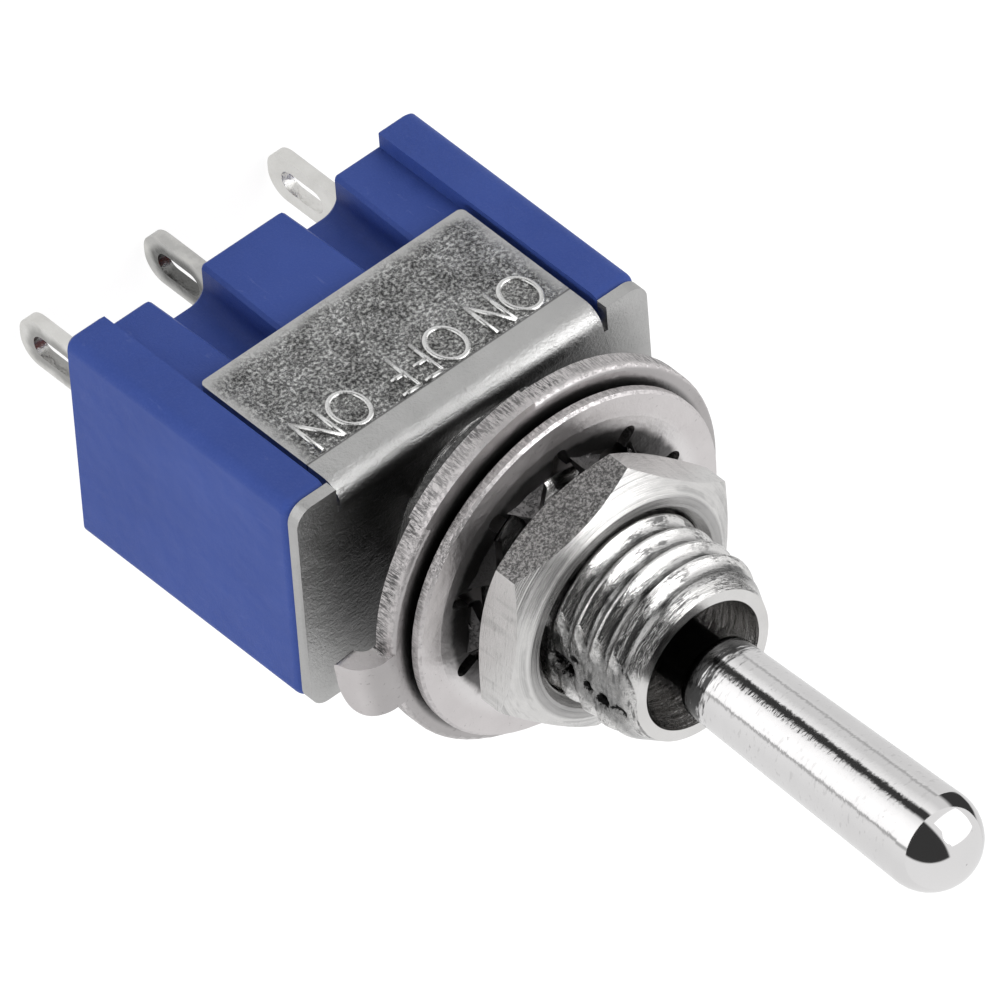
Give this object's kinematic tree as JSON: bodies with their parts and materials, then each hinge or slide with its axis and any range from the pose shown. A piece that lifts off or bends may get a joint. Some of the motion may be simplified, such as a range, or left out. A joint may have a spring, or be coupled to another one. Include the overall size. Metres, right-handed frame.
{
  "type": "miniature toggle switch",
  "caption": "Miniature panel toggle switch: blue moulded base in a folded plated frame, threaded bushing with nuts, tabbed ring and lock washer, bat lever, solder lugs",
  "frame": {"origin": "on the threaded bushing's axis, at the front face of the frame's plate", "axes": "+Z along the bushing towards the lever's tip, X along the row of lugs, +Y out of the lettered flap"},
  "size_m": [0.0139, 0.0124, 0.0346],
  "materials": {
    "blue_moulding": "moulded blue thermoset",
    "plated_sheet": "bright nickel plated sheet",
    "bright_nickel": "bright nickel plate on brass",
    "polished_chrome": "polished chrome plate on brass",
    "satin_nickel": "satin nickel plated steel",
    "plain_steel": "drawn steel",
    "nylon": "natural nylon",
    "silvered_copper": "silver plated copper",
    "silver": "silver contact",
    "tinned_lug": "silver plated brass",
    "red_resin": "cast epoxy"
  },
  "bodies": {
    "switch_body": {"base": "blue_moulding", "frame": "plated_sheet", "bushing": "bright_nickel", "terminal_left": "tinned_lug", "terminal_middle": "tinned_lug", "terminal_right": "tinned_lug", "terminal_seal": "red_resin", "fixed_contact_left": "silver", "fixed_contact_right": "silver", "rear_nut": "bright_nickel", "locating_ring": "satin_nickel", "lock_washer": "satin_nickel", "front_nut": "bright_nickel"},
    "lever_group": {"lever": "polished_chrome", "pivot_pin": "plain_steel", "plunger_spring": "plain_steel"},
    "plunger_group": {"plunger": "nylon"},
    "rocker_group": {"rocker": "silvered_copper", "moving_contact_left": "silver", "moving_contact_right": "silver"}
  },
  "joints": [
    {"name": "lever_tilt", "type": "hinge", "parent": "switch_body", "child": "lever_group", "pos_m": [0, 0, 0.0036], "axis": [0, 1, 0], "range_deg": [-11, 11]},
    {"name": "plunger_slide", "type": "slide", "parent": "lever_group", "child": "plunger_group", "axis": [0, 0, 1], "range_m": [0, 0.0004], "stiffness_N_per_m": 800, "deforming": ["plunger_spring"]},
    {"name": "rocker_tilt", "type": "hinge", "parent": "switch_body", "child": "rocker_group", "pos_m": [0, 0, -0.00725], "axis": [0, 1, 0], "range_deg": [-5.5, 5.5]}
  ],
  "couplings": [
    {"joint": "rocker_tilt", "follows": "lever_tilt", "ratio": -0.5}
  ]
}
